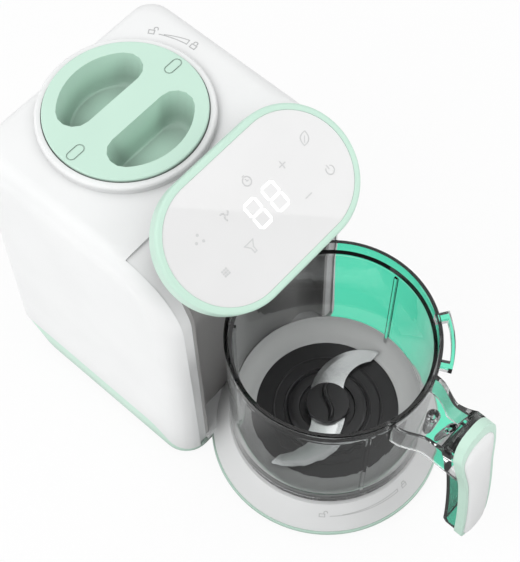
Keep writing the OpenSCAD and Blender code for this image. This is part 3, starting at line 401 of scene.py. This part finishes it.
cell = [(0, 0), (GRID_CELL, 0), (GRID_CELL, GRID_CELL), (0, GRID_CELL)]
for i in range(GRID_CELLS):
    for j in range(GRID_CELLS):
        keys.plate(moved(cell, GRID[0] + GRID_PITCH * i, GRID[1] + GRID_PITCH * j))
keys.made("touch_keys", panel_ink, "grey_plastic", "housing")


# Lock marks on the housing's top and on the deck
LID, LID_TRACK, LID_OPEN = (0, 107.5), 60.4, 30.4
JAR, JAR_TRACK, JAR_OPEN = (0, -45), 66.4, -142
DECK_LEAN = 0.44
LOCK_LINE, LOCK_HALF, LOCK_H = 0.55, 1.7, 2.6
BOW_R, BOW_MIDDLE, BOW_FOOT, BOW_SHIFT = 1.1, 1.3, 0.55, 2.2
WEDGE_LINE, WEDGE_FOOT, WEDGE_STEPS = 0.5, -2.0, 12


def surface(node):
    """Finds the height and the slope of a node from above."""
    mesh = nodes[node].data
    tree = BVHTree.FromPolygons([v.co for v in mesh.vertices], [p.vertices for p in mesh.polygons])

    def find(x, y, lift):
        hit, normal, _, _ = tree.ray_cast(Vector((x, y, 1000)) * MM, Vector((0, 0, -1)))
        if normal.z < 0:
            normal = -normal
        return hit / MM + normal * lift
    return find


def lock(ink, s, opened):
    body = [(-LOCK_HALF, -LOCK_H), (LOCK_HALF, -LOCK_H), (LOCK_HALF, 0), (-LOCK_HALF, 0)]
    ink.line(moved(body, s, 0), LOCK_LINE, True)
    arch = turn(0, BOW_MIDDLE, BOW_R, 180, 0, 8)
    bow = [(-BOW_R, BOW_FOOT)] + arch + [(BOW_R, BOW_FOOT)]
    ink.line(moved(bow, s + (BOW_SHIFT if opened else 0), 0), LOCK_LINE)


def lock_marks(name, place, far, start, end, rise):
    """Open lock, shut lock and the wedge between them."""
    ink = Print(place)
    lock(ink, 0, True)
    lock(ink, far, False)
    base = [(start + (end - start) * i / WEDGE_STEPS, WEDGE_FOOT) for i in range(WEDGE_STEPS + 1)]
    top = [(s, WEDGE_FOOT + rise * (s - start) / (end - start)) for s, _ in reversed(base[2:])]
    ink.line(base + top, WEDGE_LINE)
    ink.made(name, shell_ink, "grey_plastic", "housing")


housing_top = surface("main_housing")
deck_side = surface("jar_deck")


def beside_lid(s, h, lift):
    a = math.radians(LID_OPEN) - s / LID_TRACK
    r = LID_TRACK + h
    return housing_top(LID[0] + r * math.cos(a), LID[1] + r * math.sin(a), lift)


def on_deck(s, h, lift):
    a = math.radians(JAR_OPEN) + s / JAR_TRACK
    r = JAR_TRACK - DECK_LEAN * h
    return deck_side(JAR[0] + r * math.cos(a), JAR[1] + r * math.sin(a), lift)


lock_marks("lid_lock_marks", beside_lid, far=27.0, start=4.6, end=22.8, rise=3.2)
lock_marks("jar_lock_marks", on_deck, far=56.5, start=4.8, end=51.0, rise=2.4)


# Grip cover: a crowned pad in the grip's frame
GRIP_FOOT, GRIP_LOW, GRIP_TOP = 110.58, 30, 153
GRIP_LEAN, GRIP_BEND = 1.8, 1200
GRIP_HALF, GRIP_FLARE, FLARE_LOW, FLARE_TOP = 12.5, 3, 104, 137
FOOT_ROUND, TOP_ROUND, ROUND_STEPS, SIDE_ROWS = 11, 13, 10, 24
COVER_BORDER, COVER_CAP, FRAME_T = 2.5, 5, 5.5
COVER_BACK, COVER_RIM = FRAME_T / 2 + 0.1, FRAME_T - 0.2
CROWN, CROWN_RUN = 2.3, 8.2
CROWN_INSETS = (0, 0.2, 0.6, 1.2, 2.1, 3.4, 5.2, 8.0)


def grip_line(z):
    """How far the grip's frame stands from the jar's axis at a height."""
    rise = z - GRIP_LOW
    return GRIP_FOOT - math.tan(math.radians(GRIP_LEAN)) * rise - rise * rise / GRIP_BEND


def grip_half(z):
    t = min(1, max(0, (z - FLARE_LOW) / (FLARE_TOP - FLARE_LOW)))
    return GRIP_HALF + GRIP_FLARE * t * t * (3 - 2 * t)


def grip_outline(inset):
    """Right half of the grip's outline from the front, from its foot to its top."""
    r0, r1 = FOOT_ROUND - inset, TOP_ROUND - inset
    low, top = GRIP_LOW + inset, GRIP_TOP - inset - COVER_CAP
    z0, z1 = low + r0, top - r1
    sides = [z0 + (z1 - z0) * i / SIDE_ROWS for i in range(1, SIDE_ROWS)]
    return (turn(GRIP_HALF - inset - r0, z0, r0, -90, 0, ROUND_STEPS)
            + [(grip_half(z) - inset, z) for z in sides]
            + turn(GRIP_HALF + GRIP_FLARE - inset - r1, z1, r1, 0, 90, ROUND_STEPS))


def cover_points(inset, out):
    half = grip_outline(COVER_BORDER + inset)
    whole = half + [(-x, z) for x, z in reversed(half)]
    return [(x, JAR[1] - grip_line(z) - out, z) for x, z in whole]


rings = [cover_points(0, COVER_BACK)]
for d in CROWN_INSETS:
    rise = CROWN * math.sqrt(1 - (1 - d / CROWN_RUN) ** 2)
    rings.append(cover_points(d, COVER_RIM + rise))
count = len(rings[0])
faces = strips(len(rings), count, flip=True)
last = (len(rings) - 1) * count
for i in range(count // 2 - 1):
    quad = [i, i + 1, count - 2 - i, count - 1 - i]
    faces.append([last + q for q in quad])
    faces.append(list(reversed(quad)))
cover = piece("grip_cover", [p for ring in rings for p in ring], faces,
              look["white_plastic"], "white_plastic", "jar")
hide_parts("handle_cover")


# Jar floor: a collar round the hub and the milky ring where the bowl rounds into its floor
STEPS = 96
FLOOR_Z, FLOOR_SINK = 34.5, 0.1
BOWL_IN, BOWL_ROUND, RING_IN = 47, 12, 45.0


def around(section):
    """Points of a section, given as radius and height, all round the jar's axis."""
    angles = [2 * math.pi * k / STEPS for k in range(STEPS)]
    return [(JAR[0] + r * math.cos(a), JAR[1] + r * math.sin(a), z)
            for a in angles for r, z in section]


def lathe(section):
    """Closed ring of a section round the jar's axis."""
    return around(section), strips(STEPS, len(section), ring=True)


def bowl_line(r):
    """Line along the bowl's round foot, from its floor nearly up to its wall."""
    return turn(BOWL_IN, FLOOR_Z + BOWL_ROUND, r, -90, -6, 12)


collar = [(17.4, FLOOR_Z - FLOOR_SINK), (25.6, FLOOR_Z - FLOOR_SINK), (24.8, 35.3), (23.3, 36.1),
          (21.5, 36.4), (17.9, 36.4), (17.4, 36.0)]
piece("floor_collar", *lathe(collar), look["dark_plastic"], "dark_plastic", "jar")

inside, outside = bowl_line(BOWL_ROUND - 0.4), bowl_line(BOWL_ROUND + FLOOR_SINK)
band = ([(RING_IN, FLOOR_Z - FLOOR_SINK)] + outside + inside[::-1]
        + [(RING_IN + 0.2, FLOOR_Z + 0.35)])
piece("bowl_ring", *lathe(band), milky, "silicone", "jar")


# Blade hub: a crisp disc with a rounded S-shaped finger ridge
HUB_Z, HUB_TOP, HUB_R, HUB_CROWN = 36.6, 42.6, 13.8, 0.1
RIDGE_TOP, RIDGE_SINK, RIDGE_HALF, RIDGE_W, RIDGE_END = 47.6, 0.2, 12.7, 1.7, 0.16
RIDGE_SHIFT, RIDGE_SWAY, RIDGE_SKEW, RIDGE_FULL = 0.3, 1.5, 0.9, 0.7
RIDGE_ROWS, RIDGE_AROUND = 40, 12
AHEAD, ASIDE = Vector((0.75, 0.661, 0)), Vector((0.661, -0.75, 0))


def hub_disc():
    profile = [(HUB_R - 0.4, HUB_Z), (HUB_R, HUB_Z + 0.4), (HUB_R, HUB_TOP - 0.7),
               (HUB_R - 0.2, HUB_TOP - 0.2), (HUB_R - 0.7, HUB_TOP),
               (9, HUB_TOP + HUB_CROWN), (4.5, HUB_TOP + HUB_CROWN)]
    n = len(profile)
    points, faces = around(profile), strips(STEPS, n, ring=True, loop=False)
    middle = len(points)
    points += [(*JAR, HUB_Z), (*JAR, HUB_TOP + HUB_CROWN)]
    for k in range(STEPS):
        a, b = k * n, (k + 1) % STEPS * n
        faces.append([b, a, middle])
        faces.append([a + n - 1, b + n - 1, middle + 1])
    return points, faces


def hub_ridge(start):
    """Ridge along the hub's top, whose points follow on from a start number."""
    points = []
    for k in range(RIDGE_ROWS + 1):
        t = -1 + 2 * k / RIDGE_ROWS
        end = max(0, abs(t) - (1 - RIDGE_END)) / RIDGE_END
        ease = math.sqrt(max(0.02, 1 - end ** 2))
        aside = RIDGE_SHIFT - RIDGE_SWAY * math.sin(math.pi * t) - RIDGE_SKEW * t
        along = AHEAD * (RIDGE_HALF * t) + ASIDE * aside
        for i in range(RIDGE_AROUND + 1):
            a = math.pi * i / RIDGE_AROUND
            across = ASIDE * (RIDGE_W * ease * math.cos(a))
            rise = (RIDGE_TOP - HUB_TOP) * ease * math.sin(a) ** RIDGE_FULL
            points.append(Vector((*JAR, HUB_TOP - RIDGE_SINK + rise)) + along + across)
    n = RIDGE_AROUND + 1
    faces = strips(RIDGE_ROWS + 1, n, start, flip=True)
    faces.append([start + i for i in reversed(range(n))])
    faces.append([start + RIDGE_ROWS * n + i for i in range(n)])
    return points, faces


points, faces = hub_disc()
ridge_points, ridge_faces = hub_ridge(len(points))
hub = piece("hub", points + ridge_points, faces + ridge_faces,
            look["dark_plastic"], "dark_plastic", "blade_set")
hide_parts("blade_hub")


# Stage: nodes that tell one kind of ray from another
def calc(tree, kind, a, b):
    made = tree.nodes.new("ShaderNodeMath")
    made.operation = kind
    for socket, value in zip(made.inputs, (a, b)):
        if isinstance(value, (int, float)):
            socket.default_value = value
        else:
            tree.links.new(value, socket)
    return made.outputs[0]


def measure(tree, kind, place, fixed):
    """Distance or dot product of a place or direction and a fixed one."""
    made = tree.nodes.new("ShaderNodeVectorMath")
    made.operation = kind
    tree.links.new(place, made.inputs[0])
    made.inputs[1].default_value = fixed
    return made.outputs["Value"]


def mixed(tree, first, second, share):
    made = tree.nodes.new("ShaderNodeMixShader")
    for socket, value in zip(made.inputs, (share, first, second)):
        tree.links.new(value, socket)
    return made.outputs[0]


def arrivals(tree):
    """How a ray comes to the stage: from the camera, off gloss, through clear plastic, or out of
    its edges."""
    path = tree.nodes.new("ShaderNodeLightPath").outputs
    fresh = calc(tree, "LESS_THAN", path["Diffuse Depth"], 0.5)
    bounced = calc(tree, "GREATER_THAN", path["Glossy Depth"], 0.5)
    bare = calc(tree, "LESS_THAN", path["Transmission Depth"], 0.5)
    passed = calc(tree, "MULTIPLY", fresh, path["Is Transmission Ray"])
    edge = calc(tree, "MULTIPLY", passed, bounced)
    unpassed = calc(tree, "MULTIPLY", fresh, bare)
    return {
        "camera": path["Is Camera Ray"],
        "gloss": calc(tree, "MULTIPLY", unpassed, path["Is Glossy Ray"]),
        "through": calc(tree, "SUBTRACT", passed, edge),
        "edge": edge,
    }


PURE = (1, 1, 1, 1)


def glow(tree, kind, strength, colour=PURE):
    made = tree.nodes.new(kind)
    made.inputs["Color"].default_value = colour
    made.inputs["Strength"].default_value = strength
    return made.outputs[0]


# Floor: white to the camera, with a share of the object's shadow
FLOOR_HALF = 4
FLOOR_TONES = (0.9, 0.9, 0.9, 1), (0.92, 0.92, 0.92, 1)
SHADOW_SHARE = 0.1
TEAL, TEAL_GLOW, TEAL_SPOT = srgb(98, 236, 196), 1.15, ((0.09, -0.07, 0), 0.15, 0.2)
# Painted shadow: a dim round patch of floor near the object, which only reflections show.
PAINTED_SHADOW_GLOW, PAINTED_SHADOW_SPOT = 0.2, ((0, -0.1, 0), 0.12, 0.18)
# Painted dark reflection: rays that reflected inside clear plastic and passed out of it see a
# near-black floor, which darkens its edges.
FLOOR_EDGE_GLOW = 0.03
EMISSION = "ShaderNodeEmission"

mesh = bpy.data.meshes.new("floor")
corners = [(-1, -1), (1, -1), (1, 1), (-1, 1)]
mesh.from_pydata([(FLOOR_HALF * x, FLOOR_HALF * y, 0) for x, y in corners], [], [(0, 1, 2, 3)])
floor = bpy.data.objects.new("floor", mesh)
bpy.context.scene.collection.objects.link(floor)
g = Graph("floor")
g.link(g.tint(g.noise(3), *FLOOR_TONES), g.shader.inputs["Base Color"])
g.set(Roughness=0.9)
floor.data.materials.append(g.material)
way = arrivals(g.tree)
white = glow(g.tree, EMISSION, 1)
place = g.add("ShaderNodeNewGeometry").outputs["Position"]


def spotted(glowing, at, full, out):
    """White ground with a round spot of another glow."""
    patch = g.span(measure(g.tree, "DISTANCE", place, at), 1, 0, full, out)
    return mixed(g.tree, white, glowing, patch)


teal_ground = spotted(glow(g.tree, EMISSION, TEAL_GLOW, TEAL), *TEAL_SPOT)
painted_shadow_ground = spotted(glow(g.tree, EMISSION, PAINTED_SHADOW_GLOW), *PAINTED_SHADOW_SPOT)
bright = calc(g.tree, "MULTIPLY", way["camera"], 1 - SHADOW_SHARE)
seen = mixed(g.tree, g.shader.outputs[0], white, bright)
# Reflections see the floor with the painted shadow patch.
seen = mixed(g.tree, seen, painted_shadow_ground, way["gloss"])
seen = mixed(g.tree, seen, teal_ground, way["through"])
# Painted dark edges of the clear plastic.
seen = mixed(g.tree, seen, glow(g.tree, EMISSION, FLOOR_EDGE_GLOW), way["edge"])
g.link(seen, g.tree.nodes["Material Output"].inputs["Surface"])


# World: a soft sky that leans to the left, and a softbox that gloss shows
SKY_SIDE, SKY_MEAN, SKY_LEAN = (-0.8, 0.15, 0.58), 0.61, 0.24
SOFTBOX_EDGE, SOFTBOX_GLOW, ROOM_GLOW = (0.686, 0.703, 0.186), 1.3, 0.2
SKY_EDGE_GLOW = 0.8
BACKGROUND = "ShaderNodeBackground"

world = bpy.data.worlds.new("studio")
world.use_nodes = True
bpy.context.scene.world = world
tree = world.node_tree
way = arrivals(tree)
heading = tree.nodes.new("ShaderNodeTexCoord").outputs["Generated"]
box = calc(tree, "GREATER_THAN", measure(tree, "DOT_PRODUCT", heading, SOFTBOX_EDGE), 0)
lean = calc(tree, "MULTIPLY", measure(tree, "DOT_PRODUCT", heading, SKY_SIDE), SKY_LEAN)
sky = tree.nodes["Background"]
sky.inputs["Color"].default_value = PURE
tree.links.new(calc(tree, "ADD", lean, SKY_MEAN), sky.inputs["Strength"])
white = glow(tree, BACKGROUND, 1)
studio = mixed(tree, glow(tree, BACKGROUND, ROOM_GLOW), glow(tree, BACKGROUND, SOFTBOX_GLOW), box)
seen = mixed(tree, sky.outputs[0], white, way["camera"])
seen = mixed(tree, seen, studio, way["gloss"])
seen = mixed(tree, seen, white, way["through"])
seen = mixed(tree, seen, glow(tree, BACKGROUND, SKY_EDGE_GLOW), way["edge"])
tree.links.new(seen, tree.nodes["World Output"].inputs["Surface"])


# Lamps
MIDDLE = Vector((0, 0, 0.12))
LAMPS = {"key": ((-1.0, 0.15, 1.6), 1.2, 10.5), "fill": ((0.8, -1.1, 1.0), 1.0, 5.5)}


def lamp(name, at, size, power):
    data = bpy.data.lights.new(name, "AREA")
    data.shape = "RECTANGLE"
    data.size = data.size_y = size
    data.energy = power
    obj = bpy.data.objects.new(name, data)
    bpy.context.scene.collection.objects.link(obj)
    obj.location = at
    obj.rotation_mode = "QUATERNION"
    obj.rotation_quaternion = (MIDDLE - Vector(at)).to_track_quat("-Z", "Y")
    obj.visible_glossy = False


for name, values in LAMPS.items():
    lamp(name, *values)


# Camera
EYE, AZIMUTH, ELEVATION = (-0.2627, -0.2348, 0.8037), math.radians(-48.63), math.radians(63.59)
LENS, SENSOR, SHIFT, NEAR = 84.24, 36, (-0.032, 0.0747), 0.01

eye = bpy.data.cameras.new("camera")
eye.lens = LENS
eye.sensor_width = SENSOR
eye.sensor_fit = "AUTO"
eye.shift_x, eye.shift_y = SHIFT
eye.clip_start = NEAR
camera = bpy.data.objects.new("camera", eye)
bpy.context.scene.collection.objects.link(camera)
camera.location = EYE
level = math.cos(ELEVATION)
back = Vector((math.sin(AZIMUTH) * level, -math.cos(AZIMUTH) * level, math.sin(ELEVATION)))
camera.rotation_mode = "QUATERNION"
camera.rotation_quaternion = (-back).to_track_quat("-Z", "Y")
bpy.context.scene.camera = camera

bpy.context.scene.view_settings.view_transform = "Standard"
